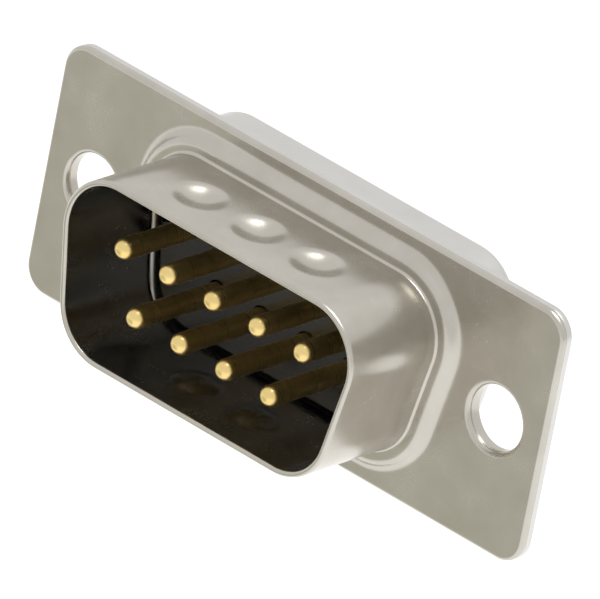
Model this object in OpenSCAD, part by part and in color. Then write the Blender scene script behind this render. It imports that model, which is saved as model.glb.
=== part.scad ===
// Nine-way D-subminiature plug: a drawn front shell with a D-shaped shroud, a rear shell, two moulded
// insulators and nine turned contacts with solder cups.
// X runs along the flange, the plug mates towards -Y and the row of five contacts is on top (+Z).
// The origin is the centre of the flange's front face, midway between the mounting holes.
// Pieces are drawn lying down, with the mating side up, and stand() turns them upright.

/* [Flange] */
// Length of the flange
flange_length = 30.8; // [29.6:0.1:34]
// Height of the flange
flange_height = 12.55; // [12.2:0.05:15]
// Radius of the flange's corners
flange_corner = 1.3; // [1:0.1:2.5]
// Rounding of the flange's front rim
flange_rim = 0.2; // [0.05:0.05:0.25]
// Distance between the mounting holes
hole_spacing = 25; // [24.8:0.1:25.6]
// Bore of the mounting holes
hole_bore = 3.05; // [2.8:0.05:3.3]
// Rounding of the mounting holes' mouths
hole_lead = 0.3; // [0.2:0.05:0.4]

/* [Sheet metal] */
// Sheet thickness of the front shell
front_sheet = 0.3; // [0.25:0.01:0.35]
// Sheet thickness of the rear shell
rear_sheet = 0.35; // [0.25:0.01:0.4]

/* [Shroud] */
// Height of the shroud's opening
opening_height = 8.34; // [8:0.02:8.6]
// Length of the shroud's opening along its wide side, between its unrounded corners
opening_length = 18.06; // [17.8:0.02:18.3]
// Radius of the opening's corners
opening_corner = 2.45; // [2:0.05:2.8]
// How far the shroud stands in front of the flange
shroud_reach = 6.08; // [5.4:0.02:6.6]

/* [Step round the shroud's root] */
// Height of the step in front of the flange
step_height = 0.45; // [0.35:0.05:0.6]
// Flat land round the shroud on top of the step
step_land = 0.2; // [0.1:0.05:0.4]
// Outer radius of the step's crest
step_crest = 0.5; // [0.4:0.05:0.55]
// Radius between the step and the shroud's wall
root_fillet = 0.15; // [0.1:0.05:0.3]

/* [Grounding dimples] */
// Diameter of a dimple where it meets the wall
dimple_size = 2.3; // [1.6:0.1:2.6]
// Depth of a dimple
dimple_depth = 0.35; // [0.2:0.05:0.5]
// Spacing of the dimples along the wall
dimple_pitch = 3.6; // [2.8:0.1:4]
// Distance from the shroud's mouth to the middle of the dimples
dimple_setback = 2.8; // [2:0.1:3.5]

/* [Rear shell] */
// Outer height of the rear shell's pocket
pocket_height = 10.54; // [10.4:0.02:10.8]
// Outer length of the pocket along its wide side, between its unrounded corners
pocket_length = 20.2; // [20:0.05:20.6]
// Outer radius of the pocket's corners
pocket_corner = 2.6; // [2.2:0.1:3]
// Distance from the flange's front face to the pocket's back
pocket_back = 4.05; // [3.6:0.05:4.6]
// Radius between the rear plate and the pocket's wall
pocket_fillet = 0.35; // [0.2:0.05:0.4]
// Outer radius of the bend round the pocket's back
pocket_bend = 0.55; // [0.45:0.05:0.7]
// Width of the lip turned in round the pocket's back opening
pocket_lip = 1.1; // [0.9:0.05:1.3]

/* [Rolled collars of the mounting holes] */
// Wall of a collar
collar_wall = 0.28; // [0.2:0.01:0.3]
// Width of the rolled rim behind the rear plate
collar_rim = 0.6; // [0.5:0.05:0.75]
// Thickness of the rolled rim
collar_roll = 0.22; // [0.15:0.01:0.3]

/* [Insulators] */
// Thickness of the front insulator
front_insulator_depth = 1.8; // [1.4:0.1:2.2]
// How far the rear insulator stands out behind the pocket
rear_insulator_reach = 0.7; // [0.3:0.1:1]

/* [Contacts] */
// Pitch of the contacts along a row
contact_pitch = 2.77; // [2.7:0.01:2.8]
// Distance between the two rows
row_spacing = 2.84; // [2.8:0.01:2.9]
// Diameter of a pin
pin_size = 1.02; // [0.9:0.01:1.1]
// How far a pin's tip stays behind the shroud's mouth
pin_setback = 0.18; // [0.1:0.02:0.6]
// Outer diameter of a solder cup
cup_size = 1.7; // [1.5:0.05:1.8]
// Bore of a solder cup
cup_bore = 1.2; // [1:0.05:1.25]
// Depth of a solder cup's bore
cup_depth = 2.2; // [1.6:0.1:2.4]
// Length of the cut that opens a solder cup
cup_scoop = 1.7; // [1.2:0.1:1.9]
// Distance from the flange's front face to the contacts' back ends
contact_back = 7.6; // [7.4:0.1:11]
// Diameter of the collar that locks a contact between the insulators
lock_size = 2.2; // [2:0.05:2.3]
// Thickness of the locking collar
lock_depth = 0.6; // [0.4:0.05:0.8]

/* [Fits] */
// Gap between an insulator and the metal round it
insulator_gap = 0.1; // [0.05:0.01:0.2]
// Gap round a contact in its hole
contact_gap = 0.05; // [0.03:0.01:0.08]
// Gap between a collar and the rear plate's hole
collar_gap = 0.03; // [0.02:0.01:0.06]

/* [Hidden] */

// An end wall of the shells leans inwards by this much over a length of 1, about 10 degrees
lean = 0.1726;
slant = asin(lean);

wide_row = 5;
narrow_row = 4;

// How far the parts of one bent sheet run into each other
weld = 0.2;

wall_fn = 22;    // facets of the shells' corners
bend_fn = 16;    // facets of bends in the sheet
hole_fn = 28;    // facets of mounting holes
contact_fn = 14; // facets of contacts

steel = [0.72, 0.71, 0.67];
tin = [0.8, 0.8, 0.78];
black = [0.08, 0.08, 0.08];
gold = [0.83, 0.66, 0.3];

// D outlines are [length, height, corner radius, slant]; see outline() below.
opening = [opening_length, opening_height, opening_corner, slant];
shroud = grown(opening, front_sheet);
flange = [flange_length, flange_height, flange_corner, 0];
pocket = [pocket_length, pocket_height, pocket_corner, slant];

// The step's flank rises 4 for each 3 outwards. Radius of its foot, and the offsets from the shroud's
// wall where the step's crest begins and where its foot runs out in the flange
flank = atan2(4, 3);
step_foot = step_height / (1 - cos(flank)) - step_crest;
crest_start = root_fillet + step_land;
foot_end = crest_start + (step_crest + step_foot) * sin(flank);

// Levels: heights in front of the flange's front face, negative behind it
seam = -front_sheet;
rear_face = seam - rear_sheet;
land_back = step_height - front_sheet;
joint = land_back - front_insulator_depth;
pocket_inside = rear_sheet - pocket_back;
insulator_back = -pocket_back - rear_insulator_reach;
pin_tip = shroud_reach - pin_setback;

collar_outer = hole_bore / 2 + collar_wall;
mouth_radius = hole_bore / 2 + hole_lead;

// Ball that presses a dimple
dimple_ball = (pow(dimple_size / 2, 2) + pow(dimple_depth, 2)) / (2 * dimple_depth);

// Contact places, [x, y, side], side +1 in the upper row and -1 in the lower one
places = [
    for (i = [0:wide_row - 1]) [(i - (wide_row - 1) / 2) * contact_pitch, row_spacing / 2, 1],
    for (i = [0:narrow_row - 1]) [(i - (narrow_row - 1) / 2) * contact_pitch, -row_spacing / 2, -1]
];

// ---- D outlines ----

// The outline d moved outwards by the distance by
function grown(d, by) =
    [d[0] + 2 * by * (1 + sin(d[3])) / cos(d[3]), d[1] + 2 * by, d[2] + by, d[3]];

// Centres of an outline's right-hand corners: the upper one, then the lower one
function corners(d) =
    let (
        y = d[1] / 2 - d[2],
        top = d[0] / 2 - d[2] * (1 + sin(d[3])) / cos(d[3]),
        bottom = top - 2 * y * tan(d[3])
    )
    [[top, y], [bottom, -y]];

// Length of an outline's straight end wall
function end_wall(d) = norm(corners(d)[0] - corners(d)[1]);

// A filled outline, wide side up. Its halves are chains of parts, each placed from the last one.
module outline(d) {
    upper = corners(d)[0];
    lower = corners(d)[1];
    polygon([upper, lower, [-lower[0], lower[1]], [-upper[0], upper[1]]]);
    for (side = [0, 1]) mirror([side, 0, 0]) translate(upper) {
        circle(d[2], $fn = wall_fn);
        translate([-upper[0], -weld]) square([upper[0], weld + d[2]]);
        rotate([0, 0, -d[3]]) translate([0, -end_wall(d)]) {
            circle(d[2], $fn = wall_fn);
            translate([-weld, 0]) square([weld + d[2], end_wall(d)]);
            rotate([0, 0, d[3]]) translate([-lower[0] - weld, -d[2]]) square([lower[0] + weld, d[2] + weld]);
        }
    }
}

// A section carried round an outline: its x is the distance outside the outline, its y the height.
// Its halves are chains as well: wide side and upper corner, end wall, narrow side and lower corner.
module carried_round(d) {
    upper = corners(d)[0];
    lower = corners(d)[1];
    for (side = [0, 1]) mirror([side, 0, 0]) translate(upper) {
        carried_side(upper[0], d[2], d[3]) children();
        rotate([0, 0, -d[3]]) translate([0, -end_wall(d)]) {
            rotate([0, 0, -90]) carried_along(end_wall(d), d[2]) children();
            rotate([0, 0, d[3]]) mirror([0, 1, 0]) carried_side(lower[0] + weld, d[2], -d[3]) children();
        }
    }
}

// Half a side and the corner about the origin, up to the plane in which the end wall starts
module carried_side(run, radius, slant) {
    carried_along(run, radius) children();
    intersection() {
        rotate_extrude(angle = 180, start = -90, $fn = wall_fn) translate([radius, 0]) children();
        rotate([0, 0, -slant]) translate([-flange_length, 0, -flange_length]) cube(2 * flange_length);
    }
}

// A section carried along a straight side, from above the origin to the left
module carried_along(run, radius) {
    translate([-run, 0]) rotate([90, 0, 90]) linear_extrude(run) translate([radius, 0]) children();
}

// A bent strip of sheet: an arc about [x, y] between two radii, from one angle to another
module bend(x, y, inner, thickness, from, to) {
    far = 2 * (inner + thickness);
    middle = (from + to) / 2;
    translate([x, y])
        intersection() {
            difference() {
                circle(inner + thickness, $fn = bend_fn);
                if (inner > 0) circle(inner, $fn = bend_fn);
            }
            polygon([[0, 0], for (a = [from, middle, to]) far * [cos(a), sin(a)]]);
        }
}

module slab(low, high) {
    translate([0, 0, low]) linear_extrude(high - low) children();
}

// Turns a piece drawn with its mating side up so that it mates towards -Y
module stand() {
    rotate([90, 0, 0]) children();
}

module at_holes() {
    for (side = [-1, 1]) translate([side * hole_spacing / 2, 0, 0]) children();
}

// ---- Front shell ----

// Section of the shroud's wall and the step, out to where the step's foot meets the flange
module shroud_section() {
    t = front_sheet;
    wall_start = step_height + root_fillet;
    translate([-t, wall_start]) square([t, shroud_reach - t / 2 - wall_start]);
    translate([-t / 2, shroud_reach - t / 2]) circle(t / 2, $fn = bend_fn);
    bend(root_fillet, wall_start, root_fillet, t, 180, 270);
    translate([root_fillet, land_back]) square([step_land, t]);
    bend(crest_start, step_height - step_crest, step_crest - t, t, 90 - flank, 90);
    bend(foot_end, step_foot, step_foot, t, 270 - flank, 270);
    translate([foot_end, seam]) square([weld, t]);
}

// Section of the flange's rim with its rounded front edge
module rim_section() {
    t = front_sheet;
    r = flange_rim;
    translate([-r - weld, seam]) square([weld, t]);
    translate([-r, seam]) square([r, t - r]);
    translate([-r, -r]) intersection() {
        circle(r, $fn = bend_fn);
        square(r);
    }
}

// Section of a rolled collar: its x is the distance from the hole's axis
module collar_section() {
    bore = hole_bore / 2;
    roll_start = rear_face;
    translate([mouth_radius, -hole_lead]) intersection() {
        circle(hole_lead, $fn = bend_fn);
        translate([-hole_lead, 0]) square(hole_lead);
    }
    translate([mouth_radius, seam]) square([weld, front_sheet]);
    translate([bore, roll_start]) square([collar_wall, -hole_lead - roll_start]);
    bend(bore + collar_roll, roll_start, 0, collar_roll, 180, 270);
    translate([bore + collar_roll, roll_start - collar_roll]) square([collar_rim - collar_roll, collar_roll]);
}

// The two rows of dimples: three on the wide side, two on the narrow side
module at_dimples() {
    for (side = [[1, 3], [-1, 2]], i = [0:side[1] - 1])
        translate([
            (i - (side[1] - 1) / 2) * dimple_pitch,
            side[0] * (shroud[1] / 2 - dimple_depth + dimple_ball),
            shroud_reach - dimple_setback
        ])
            children();
}

module front_shell() {
    color(steel) stand() difference() {
        union() {
            slab(seam, 0) difference() {
                outline(grown(flange, -flange_rim));
                outline(grown(shroud, foot_end + weld / 2));
                at_holes() circle(mouth_radius + weld / 2, $fn = hole_fn);
            }
            carried_round(flange) rim_section();
            carried_round(shroud) shroud_section();
            at_holes() rotate_extrude($fn = hole_fn) collar_section();
            intersection() {
                at_dimples() sphere(dimple_ball + front_sheet, $fn = wall_fn);
                slab(step_height, shroud_reach) outline(grown(shroud, -front_sheet / 2));
            }
        }
        at_dimples() sphere(dimple_ball, $fn = wall_fn);
    }
}

// ---- Rear shell ----

module pocket_section() {
    t = rear_sheet;
    wall_start = rear_face - pocket_fillet;
    wall_end = pocket_bend - pocket_back;
    bend(pocket_fillet, wall_start, pocket_fillet, t, 90, 180);
    translate([-t, wall_end]) square([t, wall_start - wall_end]);
    bend(-pocket_bend, wall_end, pocket_bend - t, t, 270, 360);
    translate([-pocket_lip, -pocket_back]) square([pocket_lip - pocket_bend, t]);
    translate([pocket_fillet, rear_face]) square([weld, t]);
}

module rear_shell() {
    color(tin) stand() {
        slab(rear_face, seam) difference() {
            outline(flange);
            outline(grown(pocket, pocket_fillet + weld / 2));
            at_holes() circle(collar_outer + collar_gap, $fn = hole_fn);
        }
        carried_round(pocket) pocket_section();
    }
}

// ---- Insulators ----

module contact_holes(size) {
    for (p = places) translate([p[0], p[1]]) circle(size / 2 + contact_gap, $fn = contact_fn);
}

// Lies in the step's hollow and in the front of the pocket, with the contacts' collars behind it
module front_insulator() {
    color(black) stand() difference() {
        union() {
            slab(seam, land_back) outline(grown(shroud, crest_start - insulator_gap));
            slab(joint, seam) outline(grown(pocket, -rear_sheet - insulator_gap));
        }
        slab(joint - 1, land_back + 1) contact_holes(pin_size);
    }
}

// Fills the rest of the pocket and stands out through its back opening
module rear_insulator() {
    color(black) stand() difference() {
        union() {
            slab(pocket_inside, joint) outline(grown(pocket, -rear_sheet - insulator_gap));
            slab(insulator_back, pocket_inside) outline(grown(pocket, -pocket_lip - insulator_gap));
        }
        slab(insulator_back - 1, joint + 1) contact_holes(cup_size);
        slab(joint - lock_depth, joint + 1) contact_holes(lock_size);
    }
}

// ---- Contacts ----

// Half of a contact's lengthwise section, without the cup's bore
module contact_section() {
    pin = pin_size / 2;
    translate([0, joint]) square([pin, pin_tip - pin - joint]);
    translate([0, pin_tip - pin]) intersection() {
        circle(pin, $fn = contact_fn + 2);
        square(pin);
    }
    translate([0, joint - lock_depth]) square([lock_size / 2, lock_depth]);
    translate([0, -contact_back]) square([cup_size / 2, contact_back + joint - lock_depth]);
}

module contact(number) {
    p = places[number - 1];
    color(gold) stand() translate([p[0], p[1], 0]) difference() {
        rotate_extrude($fn = contact_fn) contact_section();
        translate([0, 0, -contact_back - 1]) cylinder(h = cup_depth + 1, d = cup_bore, $fn = contact_fn);
        // the scoop opens the cup away from the other row and ends in a round
        translate([-cup_size / 2 - 1, min(0, p[2] * cup_size), -contact_back - 1])
            cube([cup_size + 2, cup_size, 1 + cup_scoop - cup_size / 2]);
        translate([-cup_size / 2 - 1, p[2] * cup_size / 2, -contact_back + cup_scoop - cup_size / 2])
            rotate([0, 90, 0]) cylinder(h = cup_size + 2, d = cup_size, $fn = contact_fn);
    }
}

front_shell();
rear_shell();
front_insulator();
rear_insulator();
for (i = [1:9]) contact(i);
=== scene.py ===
"""Nine-way D-subminiature plug: the looks of its shells, insulators and contacts.

Pieces are worked out in millimetres lying down, with x along the flange, y up and z the height in front
of the flange's front face. Skin.piece() stands them up, in metres, to mate towards -Y.
"""

from math import asin, atan2, cos, degrees, pi, radians, sin

import bpy
import bmesh
import numpy as np
from mathutils import Matrix, Vector
from mathutils.geometry import delaunay_2d_cdt


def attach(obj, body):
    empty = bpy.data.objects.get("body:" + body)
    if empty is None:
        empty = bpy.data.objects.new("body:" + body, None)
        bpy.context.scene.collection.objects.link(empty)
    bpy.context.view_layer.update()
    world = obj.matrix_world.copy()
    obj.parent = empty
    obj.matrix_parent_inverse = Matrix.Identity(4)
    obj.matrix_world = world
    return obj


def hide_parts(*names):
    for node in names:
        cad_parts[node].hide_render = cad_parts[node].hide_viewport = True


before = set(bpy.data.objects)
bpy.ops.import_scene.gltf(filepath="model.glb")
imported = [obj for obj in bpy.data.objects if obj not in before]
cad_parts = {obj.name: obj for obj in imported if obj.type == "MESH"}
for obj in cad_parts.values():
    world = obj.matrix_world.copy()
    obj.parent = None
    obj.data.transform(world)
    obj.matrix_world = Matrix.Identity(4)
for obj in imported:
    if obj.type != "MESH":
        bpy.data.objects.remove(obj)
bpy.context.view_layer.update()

MM = 0.001

# ---- Sizes, in millimetres, as in the part's source ----

FLANGE_LENGTH, FLANGE_HEIGHT, FLANGE_CORNER, FLANGE_RIM = 30.8, 12.55, 1.3, 0.2
HOLE_SPACING, HOLE_BORE, HOLE_LEAD = 25.0, 3.05, 0.3
FRONT_SHEET, REAR_SHEET = 0.3, 0.35
OPENING_LENGTH, OPENING_HEIGHT, OPENING_CORNER, SHROUD_REACH = 18.06, 8.34, 2.45, 6.08
STEP_HEIGHT, STEP_LAND, STEP_CREST, ROOT_FILLET = 0.45, 0.2, 0.5, 0.15
DIMPLE_SIZE, DIMPLE_DEPTH, DIMPLE_PITCH, DIMPLE_SETBACK = 2.3, 0.35, 3.6, 2.8
POCKET_LENGTH, POCKET_HEIGHT, POCKET_CORNER, POCKET_BACK = 20.2, 10.54, 2.6, 4.05
POCKET_FILLET, POCKET_BEND, POCKET_LIP = 0.35, 0.55, 1.1
COLLAR_WALL, COLLAR_RIM, COLLAR_ROLL, COLLAR_GAP = 0.28, 0.6, 0.22, 0.03
FRONT_INSULATOR_DEPTH, REAR_INSULATOR_REACH, INSULATOR_GAP = 1.8, 0.7, 0.1
CONTACT_PITCH, ROW_SPACING, PIN_SIZE, PIN_SETBACK = 2.77, 2.84, 1.02, 0.18
CUP_SIZE, CUP_BORE, CUP_DEPTH, CUP_SCOOP, CONTACT_BACK = 1.7, 1.2, 2.2, 1.7, 7.6
LOCK_SIZE, LOCK_DEPTH, CONTACT_GAP = 2.2, 0.6, 0.05

SLANT = asin(0.1726)      # lean of the end walls
FLANK = atan2(4, 3)       # slope of the step's flank
GUARD = 0.04              # flat margin between a rounded edge and a plate
EDGE = 0.04               # rounding of sheared and moulded edges
BOSS_GAP = 0.3            # gap between the shroud's wall and the front insulator's boss
MERGE = 2e-8              # in metres: points of two grids nearer than this are one point
FLAT = 1e-9               # in metres: faces thinner than this are taken out
CREASE = radians(35)      # edges that bend more than this stay sharp

STEP_FOOT = STEP_HEIGHT / (1 - cos(FLANK)) - STEP_CREST
CREST_START = ROOT_FILLET + STEP_LAND
FOOT_END = CREST_START + (STEP_CREST + STEP_FOOT) * sin(FLANK)
SEAM = -FRONT_SHEET
REAR_FACE = SEAM - REAR_SHEET
LAND_BACK = STEP_HEIGHT - FRONT_SHEET
JOINT = LAND_BACK - FRONT_INSULATOR_DEPTH
POCKET_INSIDE = REAR_SHEET - POCKET_BACK
INSULATOR_BACK = -POCKET_BACK - REAR_INSULATOR_REACH
PIN_TIP = SHROUD_REACH - PIN_SETBACK
COLLAR_OUTER = HOLE_BORE / 2 + COLLAR_WALL

PLACES = [((i - 2) * CONTACT_PITCH, ROW_SPACING / 2, 1) for i in range(5)]
PLACES += [((i - 1.5) * CONTACT_PITCH, -ROW_SPACING / 2, -1) for i in range(4)]


# ---- Paths and sections ----


class Path:
    """Closed path, anticlockwise: points on it and the outward normals there, as (n, 2) arrays."""

    def __init__(self, points, normals):
        self.points, self.normals = np.array(points), np.array(normals)

    def grown(self, by):
        """Points of the path moved outwards by a distance, which keeps its arcs round."""
        return self.points + by * self.normals


def circle(x, y, columns):
    """Circle of radius 0 about (x, y), to be grown: normals turn once round."""
    turn = np.linspace(0, 2 * pi, columns, endpoint=False)
    return Path(np.tile([x, y], (columns, 1)), np.stack([np.cos(turn), np.sin(turn)], 1))


def d_path(length, height, radius, slant, counts):
    """D outline: four arcs and the four straights between them, with its wide side up.

    Length is that of the wide side between unrounded corners. The counts are the columns on the wide
    side, the narrow side, an end wall and a corner. An arc turns from one side's normal to the next.
    """
    wide, narrow, end, corner = counts
    y = height / 2 - radius
    top = length / 2 - radius * (1 + sin(slant)) / cos(slant)
    bottom = top - 2 * y * sin(slant) / cos(slant)
    centres = np.array([[top, y], [-top, y], [-bottom, -y], [bottom, -y]])
    normals = np.array([-slant, pi / 2, pi + slant, 1.5 * pi, 2 * pi - slant])
    points, turns = [], []
    for i, straight in enumerate([wide, end, narrow, end]):
        arc = np.linspace(normals[i], normals[i + 1], corner, endpoint=False)
        points.append(np.tile(centres[i], (corner, 1)))
        share = np.linspace(0, 1, straight, endpoint=False)[:, None]
        points.append(centres[i] + share * (centres[(i + 1) % 4] - centres[i]))
        turns += [arc, np.full(straight, normals[i + 1])]
    turns = np.concatenate(turns)
    out = np.stack([np.cos(turns), np.sin(turns)], 1)
    return Path(np.concatenate(points) + radius * out, out)


def arc(x, y, radius, start, end, steps):
    """Points [x, y] of an arc about a centre, angles in degrees."""
    turn = np.radians(np.linspace(start, end, steps + 1))
    return np.stack([x + radius * np.cos(turn), y + radius * np.sin(turn)], 1)


def line(start, end, steps):
    """Points [x, y] of a straight line, both ends included."""
    return np.linspace(start, end, steps + 1)


def joined(*parts):
    """Section of several parts, without the points that repeat where they meet."""
    points = np.concatenate(parts)
    step = np.linalg.norm(np.diff(points, axis=0), axis=1)
    return points[np.concatenate([[True], step > 1e-6])]


def inside(points, polygon):
    """Which points lie inside a polygon: a ray from each crosses its sides an odd number of times."""
    a, b = polygon, np.roll(polygon, -1, 0)
    x, y = points[:, 0, None], points[:, 1, None]
    spans = (a[:, 1] > y) != (b[:, 1] > y)
    rise = np.where(a[:, 1] == b[:, 1], 1, b[:, 1] - a[:, 1])
    return (spans & (x < a[:, 0] + (y - a[:, 1]) * (b[:, 0] - a[:, 0]) / rise)).sum(1) % 2 == 1


class Skin:
    """A closed surface put together from grids and flat plates."""

    def __init__(self):
        self.points, self.faces, self.count = [], [], 0

    def add(self, points, faces):
        self.points.append(points)
        self.faces.append(faces + self.count)
        self.count += len(points)

    def grid(self, points, closed=True):
        """Grid of columns and rows; du x dv points outwards. A closed one joins its ends."""
        columns, rows = points.shape[:2]
        u = np.arange(columns if closed else columns - 1)[:, None]
        v = np.arange(rows - 1)[None, :]
        nxt = (u + 1) % columns
        quads = np.stack([u * rows + v, nxt * rows + v, nxt * rows + v + 1, u * rows + v + 1], -1)
        self.add(points.reshape(-1, 3), quads.reshape(-1, 4))

    def carry(self, path, section, push=None):
        """A section [offset, height] carried round a path; push moves points along the path's normal."""
        offset = np.tile(section[:, 0], (len(path.points), 1))
        if push is not None:
            offset = offset + push(path, section)
        xy = path.points[:, None] + offset[..., None] * path.normals[:, None]
        height = np.tile(section[:, 1], (len(path.points), 1))
        self.grid(np.concatenate([xy, height[..., None]], 2))

    def plate(self, outline, holes, height, up=True):
        """Flat plate between an outline and holes, each a loop of points [x, y], cut into triangles."""
        loops = [outline] + holes
        starts = np.cumsum([0] + [len(loop) for loop in loops])
        points = np.concatenate(loops)
        edges = [
            (s + i, s + (i + 1) % len(loop))
            for s, loop in zip(starts, loops)
            for i in range(len(loop))
        ]
        made = delaunay_2d_cdt([Vector(p) for p in points], edges, [], 0, 1e-7)
        source = np.array([ids[0] for ids in made[3]])
        faces = source[np.array(made[2])]
        middle = points[faces].mean(1)
        keep = inside(middle, outline)
        for hole in holes:
            keep &= ~inside(middle, hole)
        faces = faces[keep]
        side = np.cross(points[faces[:, 1]] - points[faces[:, 0]], points[faces[:, 2]] - points[faces[:, 0]])
        faces = np.where((side > 0)[:, None] == up, faces, faces[:, ::-1])
        self.add(np.column_stack([points, np.full(len(points), height)]), faces)

    def piece(self, node, material):
        """Stands the skin up, closes its seams and makes it the piece that replaces a solid."""
        points = np.concatenate(self.points)
        upright = np.stack([points[:, 0], -points[:, 2], points[:, 1]], 1) * MM
        mesh = bpy.data.meshes.new(node + "_skin")
        mesh.from_pydata(upright, [], [face.tolist() for faces in self.faces for face in faces])
        work = bmesh.new()
        work.from_mesh(mesh)
        bmesh.ops.remove_doubles(work, verts=work.verts, dist=MERGE)
        bmesh.ops.dissolve_degenerate(work, edges=work.edges, dist=FLAT)
        work.to_mesh(mesh)
        work.free()
        mesh.shade_smooth()
        mesh.set_sharp_from_angle(angle=CREASE)
        mesh.materials.append(material)
        obj = bpy.data.objects.new(node + "_skin", mesh)
        bpy.context.scene.collection.objects.link(obj)
        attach(obj, "root")
        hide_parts(node)
        return obj


# ---- Shells ----

SHROUD = d_path(
    OPENING_LENGTH + 2 * FRONT_SHEET * (1 + sin(SLANT)) / cos(SLANT),
    OPENING_HEIGHT + 2 * FRONT_SHEET,
    OPENING_CORNER + FRONT_SHEET,
    SLANT,
    (120, 90, 16, 22),
)
POCKET = d_path(POCKET_LENGTH, POCKET_HEIGHT, POCKET_CORNER, SLANT, (12, 8, 6, 24))
FLANGE = d_path(FLANGE_LENGTH, FLANGE_HEIGHT, FLANGE_CORNER, 0, (24, 24, 12, 14))
HOLES = [circle(side * HOLE_SPACING / 2, 0, 72) for side in (-1, 1)]

DIMPLES = [((i - 1) * DIMPLE_PITCH, 1) for i in range(3)]
DIMPLES += [((i - 0.5) * DIMPLE_PITCH, -1) for i in range(2)]


def dimples(path, section):
    """Depth of the pressed dimples: balls sunk in the wall, with softly rounded edges.

    A ball's cap is sqrt(ball^2 - distance^2) less what the ball stands off. Its depth d is rounded to
    soft * log(1 + exp(d / soft)), which dies away outside the ball.
    """
    ball = ((DIMPLE_SIZE / 2) ** 2 + DIMPLE_DEPTH**2) / (2 * DIMPLE_DEPTH)
    soft = 0.07
    level = 0.99  # least share of y in the normal of a wall that carries dimples
    margin = 0.01  # the walls' own points lie less than this outside the outline
    away = section[:, 1] - (SHROUD_REACH - DIMPLE_SETBACK)
    sunk = np.zeros((len(path.points), len(section)))
    for x, side in DIMPLES:
        near = (path.normals[:, 1] * side > level)[:, None]
        distance = (path.points[:, 0] - x)[:, None] ** 2 + away[None, :] ** 2
        cap = np.sqrt(np.maximum(ball**2 - distance, 0)) - (ball - DIMPLE_DEPTH)
        sunk += np.where(near, soft * np.log1p(np.exp(cap / soft)), 0)
    wall = (section[:, 1] > STEP_HEIGHT + ROOT_FILLET) & (section[:, 0] < margin)
    return -sunk * wall


def front_shell(material):
    """One drawn sheet: flange, step, shroud with a half-round mouth, dimples and rolled collars."""
    t = FRONT_SHEET
    wall = STEP_HEIGHT + ROOT_FILLET
    flank = degrees(FLANK)
    low, high = wall, SHROUD_REACH - t / 2
    section = joined(
        line((FOOT_END + GUARD, 0), (FOOT_END, 0), 1),
        arc(FOOT_END, STEP_FOOT, STEP_FOOT, 270, 270 - flank, 8),
        arc(CREST_START, STEP_HEIGHT - STEP_CREST, STEP_CREST, 90 - flank, 90, 8),
        line((CREST_START, STEP_HEIGHT), (ROOT_FILLET, STEP_HEIGHT), 2),
        arc(ROOT_FILLET, wall, ROOT_FILLET, 270, 180, 8),
        line((0, low), (0, high), 56),
        arc(-t / 2, high, t / 2, 0, 180, 12),
        line((-t, high), (-t, low), 56),
        arc(ROOT_FILLET, wall, ROOT_FILLET + t, 180, 270, 10),
        line((ROOT_FILLET, LAND_BACK), (CREST_START, LAND_BACK), 2),
        arc(CREST_START, STEP_HEIGHT - STEP_CREST, STEP_CREST - t, 90, 90 - flank, 6),
        arc(FOOT_END, STEP_FOOT, STEP_FOOT + t, 270 - flank, 270, 8),
        line((FOOT_END, SEAM), (FOOT_END + GUARD, SEAM), 1),
    )
    rim = joined(
        line((-EDGE - GUARD, SEAM), (-EDGE, SEAM), 1),
        arc(-EDGE, SEAM + EDGE, EDGE, 270, 360, 3),
        arc(-FLANGE_RIM, -FLANGE_RIM, FLANGE_RIM, 0, 90, 8),
        line((-FLANGE_RIM, 0), (-FLANGE_RIM - GUARD, 0), 1),
    )
    bore = HOLE_BORE / 2
    rolled = REAR_FACE - COLLAR_ROLL
    collar = joined(
        line((bore + HOLE_LEAD + GUARD, 0), (bore + HOLE_LEAD, 0), 1),
        arc(bore + HOLE_LEAD, -HOLE_LEAD, HOLE_LEAD, 90, 180, 10),
        line((bore, -HOLE_LEAD), (bore, REAR_FACE), 2),
        arc(bore + COLLAR_ROLL, REAR_FACE, COLLAR_ROLL, 180, 270, 8),
        line((bore + COLLAR_ROLL, rolled), (bore + COLLAR_RIM - EDGE, rolled), 2),
        arc(bore + COLLAR_RIM - EDGE, rolled + EDGE, EDGE, 270, 360, 4),
        line((bore + COLLAR_RIM, rolled + EDGE), (bore + COLLAR_RIM, REAR_FACE), 1),
        line((bore + COLLAR_RIM, REAR_FACE), (COLLAR_OUTER, REAR_FACE), 1),
        line((COLLAR_OUTER, REAR_FACE), (COLLAR_OUTER, SEAM), 1),
    )
    skin = Skin()
    skin.carry(SHROUD, section, dimples)
    skin.carry(FLANGE, rim)
    for hole in HOLES:
        skin.carry(hole, collar)
    mouths = [hole.grown(bore + HOLE_LEAD + GUARD) for hole in HOLES]
    skin.plate(FLANGE.grown(-FLANGE_RIM - GUARD), mouths + [SHROUD.grown(FOOT_END + GUARD)], 0)
    walls = [hole.grown(COLLAR_OUTER) for hole in HOLES]
    skin.plate(FLANGE.grown(-EDGE - GUARD), walls + [SHROUD.grown(FOOT_END + GUARD)], SEAM, up=False)
    return skin.piece("front_shell", material)


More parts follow.
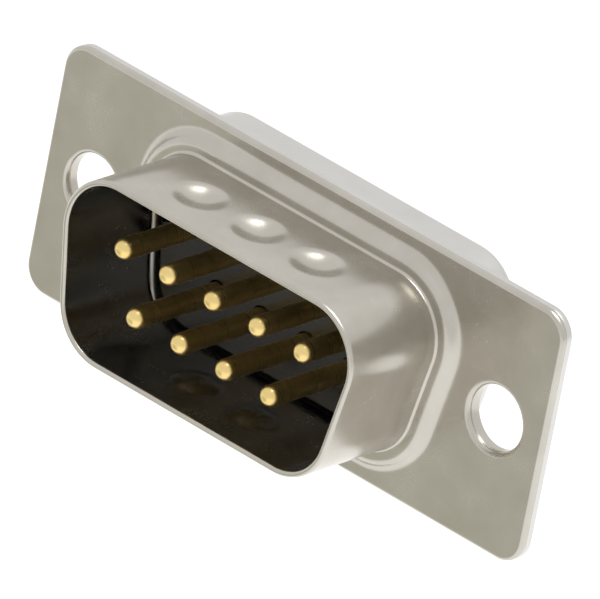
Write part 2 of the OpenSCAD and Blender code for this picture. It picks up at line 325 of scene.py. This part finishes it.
def rear_shell(material):
    """One drawn sheet: the plate behind the flange and the pocket, with a lip turned in at its back."""
    t = REAR_SHEET
    wall = REAR_FACE - POCKET_FILLET
    back = POCKET_BEND - POCKET_BACK
    section = joined(
        line((POCKET_FILLET + GUARD, SEAM), (POCKET_FILLET, SEAM), 1),
        arc(POCKET_FILLET, wall, POCKET_FILLET + t, 90, 180, 10),
        line((-t, wall), (-t, back), 3),
        arc(-POCKET_BEND, back, POCKET_BEND - t, 360, 270, 8),
        line((-POCKET_BEND, POCKET_INSIDE), (-POCKET_LIP + EDGE, POCKET_INSIDE), 1),
        arc(-POCKET_LIP + EDGE, POCKET_INSIDE - EDGE, EDGE, 90, 180, 3),
        arc(-POCKET_LIP + EDGE, -POCKET_BACK + EDGE, EDGE, 180, 270, 3),
        line((-POCKET_LIP + EDGE, -POCKET_BACK), (-POCKET_BEND, -POCKET_BACK), 2),
        arc(-POCKET_BEND, back, POCKET_BEND, 270, 360, 12),
        line((0, back), (0, wall), 5),
        arc(POCKET_FILLET, wall, POCKET_FILLET, 180, 90, 8),
        line((POCKET_FILLET, REAR_FACE), (POCKET_FILLET + GUARD, REAR_FACE), 1),
    )
    rim = joined(
        line((-EDGE - GUARD, REAR_FACE), (-EDGE, REAR_FACE), 1),
        arc(-EDGE, REAR_FACE + EDGE, EDGE, 270, 360, 3),
        arc(-EDGE, SEAM - EDGE, EDGE, 0, 90, 3),
        line((-EDGE, SEAM), (-EDGE - GUARD, SEAM), 1),
    )
    hole_wall = line((COLLAR_OUTER + COLLAR_GAP, SEAM), (COLLAR_OUTER + COLLAR_GAP, REAR_FACE), 1)
    skin = Skin()
    skin.carry(POCKET, section)
    skin.carry(FLANGE, rim)
    for hole in HOLES:
        skin.carry(hole, hole_wall)
    cuts = [hole.grown(COLLAR_OUTER + COLLAR_GAP) for hole in HOLES]
    cuts.append(POCKET.grown(POCKET_FILLET + GUARD))
    skin.plate(FLANGE.grown(-EDGE - GUARD), cuts, SEAM)
    skin.plate(FLANGE.grown(-EDGE - GUARD), cuts, REAR_FACE, up=False)
    return skin.piece("rear_shell", material)


# ---- Insulators ----

BODY = d_path(POCKET_LENGTH, POCKET_HEIGHT, POCKET_CORNER, SLANT, (120, 90, 16, 22))
CONTACT_HOLES = [circle(x, y, 48) for x, y, side in PLACES]


def front_insulator(material):
    """D block in the pocket with a smaller boss in front of it; its holes' mouths are rounded."""
    boss = -FRONT_SHEET - BOSS_GAP
    pocket = -REAR_SHEET - INSULATOR_GAP
    hole = PIN_SIZE / 2 + CONTACT_GAP
    sink = 0.05
    ledge = REAR_FACE - POCKET_FILLET
    upper = joined(
        line((boss, ledge), (boss, LAND_BACK - 2 * EDGE), 3),
        arc(boss - 2 * EDGE, LAND_BACK - 2 * EDGE, 2 * EDGE, 0, 90, 5),
        line((boss - 2 * EDGE, LAND_BACK), (boss - 2 * EDGE - GUARD, LAND_BACK), 1),
    )
    lower = joined(
        line((pocket - EDGE - GUARD, JOINT), (pocket - EDGE, JOINT), 1),
        arc(pocket - EDGE, JOINT + EDGE, EDGE, 270, 360, 3),
        line((pocket, JOINT + EDGE), (pocket, ledge), 3),
    )
    well = joined(
        line((hole + sink + GUARD, LAND_BACK), (hole + sink, LAND_BACK), 1),
        arc(hole + sink, LAND_BACK - sink, sink, 90, 180, 5),
        line((hole, LAND_BACK - sink), (hole, JOINT), 4),
    )
    skin = Skin()
    skin.carry(SHROUD, upper)
    skin.carry(BODY, lower)
    step = np.stack([BODY.grown(pocket), SHROUD.grown(boss)], 1)
    skin.grid(np.concatenate([step, np.full(step.shape[:2] + (1,), ledge)], 2))
    for place in CONTACT_HOLES:
        skin.carry(place, well)
    mouths = [place.grown(hole + sink + GUARD) for place in CONTACT_HOLES]
    skin.plate(SHROUD.grown(boss - 2 * EDGE - GUARD), mouths, LAND_BACK)
    ends = [place.grown(hole) for place in CONTACT_HOLES]
    skin.plate(BODY.grown(pocket - EDGE - GUARD), ends, JOINT, up=False)
    return skin.piece("front_insulator", material)


def rear_insulator(material):
    """D block in the pocket with a smaller one behind it, holes for the cups and recesses for the collars."""
    pocket = -REAR_SHEET - INSULATOR_GAP
    boss = -POCKET_LIP - INSULATOR_GAP
    hole, recess = CUP_SIZE / 2 + CONTACT_GAP, LOCK_SIZE / 2 + CONTACT_GAP
    sink = 0.12
    section = joined(
        line((boss - 2 * EDGE - GUARD, INSULATOR_BACK), (boss - 2 * EDGE, INSULATOR_BACK), 1),
        arc(boss - 2 * EDGE, INSULATOR_BACK + 2 * EDGE, 2 * EDGE, 270, 360, 5),
        line((boss, INSULATOR_BACK + 2 * EDGE), (boss, POCKET_INSIDE), 3),
        line((boss, POCKET_INSIDE), (pocket, POCKET_INSIDE), 2),
        line((pocket, POCKET_INSIDE), (pocket, JOINT), 4),
        line((pocket, JOINT), (pocket - GUARD, JOINT), 1),
    )
    well = joined(
        line((recess, JOINT), (recess, JOINT - LOCK_DEPTH), 2),
        line((recess, JOINT - LOCK_DEPTH), (hole, JOINT - LOCK_DEPTH), 1),
        line((hole, JOINT - LOCK_DEPTH), (hole, INSULATOR_BACK + sink), 4),
        arc(hole + sink, INSULATOR_BACK + sink, sink, 180, 270, 5),
        line((hole + sink, INSULATOR_BACK), (hole + sink + GUARD, INSULATOR_BACK), 1),
    )
    skin = Skin()
    skin.carry(BODY, section)
    for place in CONTACT_HOLES:
        skin.carry(place, well)
    skin.plate(BODY.grown(pocket - GUARD), [place.grown(recess) for place in CONTACT_HOLES], JOINT)
    mouths = [place.grown(hole + sink + GUARD) for place in CONTACT_HOLES]
    skin.plate(BODY.grown(boss - 2 * EDGE - GUARD), mouths, INSULATOR_BACK, up=False)
    return skin.piece("rear_insulator", material)


# ---- Contacts ----


def tube(skin, place, radius, turn, low, high, rows, out=1):
    """Wall of a tube between two heights, each a number or a value for every column.

    Height runs evenly from low to high. With out = -1 the wall faces the axis.
    """
    x, y, side = place
    share = np.linspace(0, 1, rows + 1)
    height = low[:, None] * (1 - share) + high[:, None] * share
    points = np.stack([
        np.broadcast_to((x + radius * np.cos(turn))[:, None], height.shape),
        np.broadcast_to((y + radius * np.sin(turn))[:, None], height.shape),
        height,
    ], 2)
    skin.grid(points[:, ::out], closed=False)


def contact(number, material):
    """Turned contact: round-nosed pin, locking collar and a solder cup whose outer half is cut away.

    The cut is a plane through the cup's axis that ends in a round: at the height h above the axis it
    stops at floor + sqrt(r^2 - (r - h)^2), where r is the cup's radius.
    """
    place = PLACES[number - 1]
    x, y, side = place
    pin, cup, bore, lock = PIN_SIZE / 2, CUP_SIZE / 2, CUP_BORE / 2, LOCK_SIZE / 2
    shoulder = JOINT - LOCK_DEPTH
    floor = -CONTACT_BACK + CUP_SCOOP - cup
    bottom = -CONTACT_BACK + CUP_DEPTH
    columns = 48
    turn = np.linspace(0, 2 * pi, columns + 1) + (0 if side > 0 else pi)
    rise = np.sin(turn) * side

    def cut(radius):
        h = np.maximum(radius * rise, 0)
        return floor + np.sqrt(np.maximum(cup**2 - (cup - h) ** 2, 0))

    whole = np.ones(columns + 1)
    skin = Skin()
    nose = pin
    body = joined(
        line((cup, shoulder), (lock - EDGE, shoulder), 1),
        arc(lock - EDGE, shoulder + EDGE, EDGE, 270, 360, 2),
        arc(lock - EDGE, JOINT - EDGE, EDGE, 0, 90, 2),
        line((lock - EDGE, JOINT), (pin, JOINT), 1),
        line((pin, JOINT), (pin, PIN_TIP - nose), 8),
    )
    ring = circle(x, y, columns)
    skin.carry(ring, body)
    lift = np.radians(np.linspace(0, 90, 13))
    skin.carry(ring, np.stack([pin * np.cos(lift), PIN_TIP - nose + nose * np.sin(lift)], 1))
    tube(skin, place, cup, turn, cut(cup), shoulder * whole, 8)
    tube(skin, place, bore, turn, cut(bore), bottom * whole, 6, out=-1)
    cone = np.array([[bore, bottom], [0, bottom + 0.5 * bore]])
    skin.carry(ring, cone)
    ends = np.stack([
        np.stack([x + r * np.cos(turn), y + r * np.sin(turn), cut(r)], 1) for r in (bore, cup)
    ], 1)
    skin.grid(ends, closed=False)
    half = np.linspace(pi, 2 * pi, columns // 2 + 1) + (0 if side > 0 else pi)
    some = np.ones(len(half))
    tube(skin, place, cup, half, -CONTACT_BACK * some, floor * some, 2)
    tube(skin, place, bore, half, -CONTACT_BACK * some, floor * some, 2, out=-1)
    trough = np.stack([
        np.stack([x + r * np.cos(half), y + r * np.sin(half), -CONTACT_BACK * some], 1) for r in (bore, cup)
    ], 1)
    skin.grid(trough, closed=False)
    for end, order in ((half[0], 1), (half[-1], -1)):
        low_high = np.array([-CONTACT_BACK, -CONTACT_BACK / 2 + floor / 2, floor])
        lips = np.stack([
            np.stack([np.full(3, x + r * cos(end)), np.full(3, y + r * sin(end)), low_high], 1)
            for r in (bore, cup)
        ], 0)
        skin.grid(lips[::order], closed=False)
    return skin.piece(f"contact_{number}", material)


# ---- Materials ----


class Value:
    """A shader socket that Python's operators work on, each adding a Math node."""

    def __init__(self, material, socket):
        self.material, self.socket = material, socket

    def math(self, operation, other):
        return self.material.node("ShaderNodeMath", {"operation": operation}, [self, other])

    def __add__(self, other):
        return self.math("ADD", other)

    __radd__ = __add__

    def __sub__(self, other):
        return self.math("SUBTRACT", other)

    def __mul__(self, other):
        return self.math("MULTIPLY", other)


class Finish:
    """A material and its Principled shader."""

    def __init__(self, name, **constants):
        self.material = bpy.data.materials.new(name)
        self.material.use_nodes = True
        self.tree = self.material.node_tree
        self.shader = self.tree.nodes["Principled BSDF"]
        for key, value in constants.items():
            self.shader.inputs[key.replace("_", " ")].default_value = value
        place = self.tree.nodes.new("ShaderNodeTexCoord")
        self.place = Value(self, place.outputs["Object"])

    def node(self, kind, settings, values, output=0):
        """Adds a node: its settings first, then its sockets by place or by name."""
        made = self.tree.nodes.new(kind)
        for key, value in settings.items():
            setattr(made, key, value)
        pairs = values.items() if isinstance(values, dict) else enumerate(values)
        for key, value in pairs:
            if isinstance(value, Value):
                self.tree.links.new(value.socket, made.inputs[key])
            else:
                made.inputs[key].default_value = value
        return Value(self, made.outputs[output])

    def noise(self, scale, detail=2.0, roughness=0.5, stretch=None):
        """Noise from 0 to 1 whose features are about 1 / scale metres across."""
        place = self.place
        if stretch:
            place = self.node("ShaderNodeMapping", {}, {"Vector": place, "Scale": stretch})
        values = {"Vector": place, "Scale": scale, "Detail": detail, "Roughness": roughness}
        return self.node("ShaderNodeTexNoise", {}, values)

    def between(self, low, high, share):
        """Colour between two, by a share from 0 to 1."""
        values = {6: tuple(low) + (1,), 7: tuple(high) + (1,), 0: share}
        return self.node("ShaderNodeMix", {"data_type": "RGBA"}, values, output=2)

    def bump(self, height, distance, strength=1.0):
        values = {"Height": height, "Distance": distance, "Strength": strength}
        return self.node("ShaderNodeBump", {}, values)

    def wear(self, **links):
        """Links what varies over the surface to the shader."""
        for key, value in links.items():
            self.tree.links.new(value.socket, self.shader.inputs[key.replace("_", " ")])
        return self.material


def sheet_finish(name, low, high, rough):
    """Plated sheet steel: soft clouds of tone, uneven polish and the fine grain of the rolled sheet."""
    metal = Finish(name, Metallic=1.0, Roughness=rough)
    clouds = metal.noise(420, 3.0, 0.6)
    grain = metal.noise(9000, 2.0, 0.5)
    dents = metal.noise(260, 1.0, 0.4)
    relief = metal.bump(grain * 0.1 + dents * 4.0, 0.00002, 0.35)
    return metal.wear(
        Base_Color=metal.between(low, high, clouds),
        Roughness=(clouds - 0.5) * 0.12 + (grain - 0.5) * 0.08 + rough,
        Normal=relief,
    )


def gold_finish():
    """Gold flash on turned copper alloy, with faint rings left by the turning tool."""
    gold = Finish("gold_plating", Metallic=1.0, Roughness=0.24)
    rings = gold.noise(60, 1.0, 0.5, stretch=(1.0, 260.0, 1.0))
    clouds = gold.noise(900, 2.0)
    return gold.wear(
        Base_Color=gold.between((0.7, 0.52, 0.19), (0.82, 0.64, 0.29), clouds),
        Roughness=0.24 + rings * 0.1,
        Normal=gold.bump(rings, 0.000001, 0.3),
    )


def plastic_finish():
    """Glossy black moulding compound with a faint unevenness."""
    black = Finish("black_moulding", Roughness=0.22, Specular_IOR_Level=0.5)
    clouds = black.noise(700, 2.0)
    grain = black.noise(5000, 3.0)
    return black.wear(
        Base_Color=black.between((0.008, 0.008, 0.009), (0.02, 0.019, 0.018), clouds),
        Roughness=0.16 + clouds * 0.16,
        Normal=black.bump(grain, 0.000004, 0.4),
    )


def plain_finish(name, colour, roughness):
    return Finish(name, Base_Color=tuple(colour) + (1,), Roughness=roughness).material


# ---- Studio ----


def add_camera(target, distance, azimuth, elevation, roll, lens):
    """Camera that looks at a target, turned about its own axis by the roll; angles in degrees."""
    az, el, turn = radians(azimuth), radians(elevation), radians(roll)
    ahead = Vector((-sin(az) * cos(el), cos(az) * cos(el), -sin(el)))
    level = ahead.cross(Vector((0, 0, 1))).normalized()
    upright = level.cross(ahead)
    right = level * cos(turn) - upright * sin(turn)
    up = level * sin(turn) + upright * cos(turn)
    camera = bpy.data.objects.new("camera", bpy.data.cameras.new("camera"))
    bpy.context.scene.collection.objects.link(camera)
    turned = Matrix((right, up, -ahead)).transposed().to_4x4()
    camera.matrix_world = Matrix.Translation(Vector(target) - ahead * distance) @ turned
    camera.data.lens, camera.data.sensor_width = lens, 36.0
    camera.data.clip_start, camera.data.clip_end = 0.01, 20.0
    bpy.context.scene.camera = camera


def add_card(name, centre, size, facing, material):
    """Flat square card about a point, facing along a direction."""
    x, y = size[0] / 2, size[1] / 2
    mesh = bpy.data.meshes.new(name)
    mesh.from_pydata([(-x, -y, 0), (x, -y, 0), (x, y, 0), (-x, y, 0)], [], [(0, 1, 2, 3)])
    mesh.transform(Matrix.Translation(centre) @ Vector(facing).to_track_quat("Z", "Y").to_matrix().to_4x4())
    mesh.materials.append(material)
    card = bpy.data.objects.new(name, mesh)
    bpy.context.scene.collection.objects.link(card)
    return card


def add_light(name, place, aim, size, watts):
    lamp = bpy.data.lights.new(name, "AREA")
    lamp.shape, lamp.size, lamp.size_y, lamp.energy = "RECTANGLE", size[0], size[1], watts
    obj = bpy.data.objects.new(name, lamp)
    bpy.context.scene.collection.objects.link(obj)
    away = Vector(place) - Vector(aim)
    obj.matrix_world = Matrix.Translation(place) @ away.to_track_quat("Z", "Y").to_matrix().to_4x4()


def add_studio():
    """Pale floor well below the plug, white surroundings and a grey card that the flange mirrors."""
    world = bpy.data.worlds.new("studio")
    world.use_nodes = True
    world.node_tree.nodes["Background"].inputs["Color"].default_value = (1, 1, 1, 1)
    world.node_tree.nodes["Background"].inputs["Strength"].default_value = 1.0
    bpy.context.scene.world = world
    bpy.context.scene.view_settings.view_transform = "Standard"
    floor = plain_finish("pale_floor", (0.97, 0.97, 0.97), 0.9)
    add_card("floor", (0, 0, -0.08), (6, 6), (0, 0, 1), floor)
    grey = plain_finish("grey_card", (0.5, 0.5, 0.44), 0.9)
    add_card("front_card", (-0.11, -0.15, -0.079), (0.2, 0.2), (0, 0, 1), grey)
    add_light("overhead", (0.1, 0.1, 0.8), (0, 0, 0), (0.5, 0.5), 4)


add_camera((0.000243, 0.000297, 0.000173), 0.8, 38.155, 25.749, -11.065, 1074.917)
add_studio()

nickel = sheet_finish("nickel_plate", (0.42, 0.395, 0.345), (0.55, 0.525, 0.475), 0.25)
tin = sheet_finish("tin_plate", (0.54, 0.53, 0.5), (0.62, 0.61, 0.59), 0.3)
plastic = plastic_finish()
gold = gold_finish()

front_shell(nickel)
rear_shell(tin)
front_insulator(plastic)
rear_insulator(plastic)
for number in range(1, 10):
    contact(number, gold)
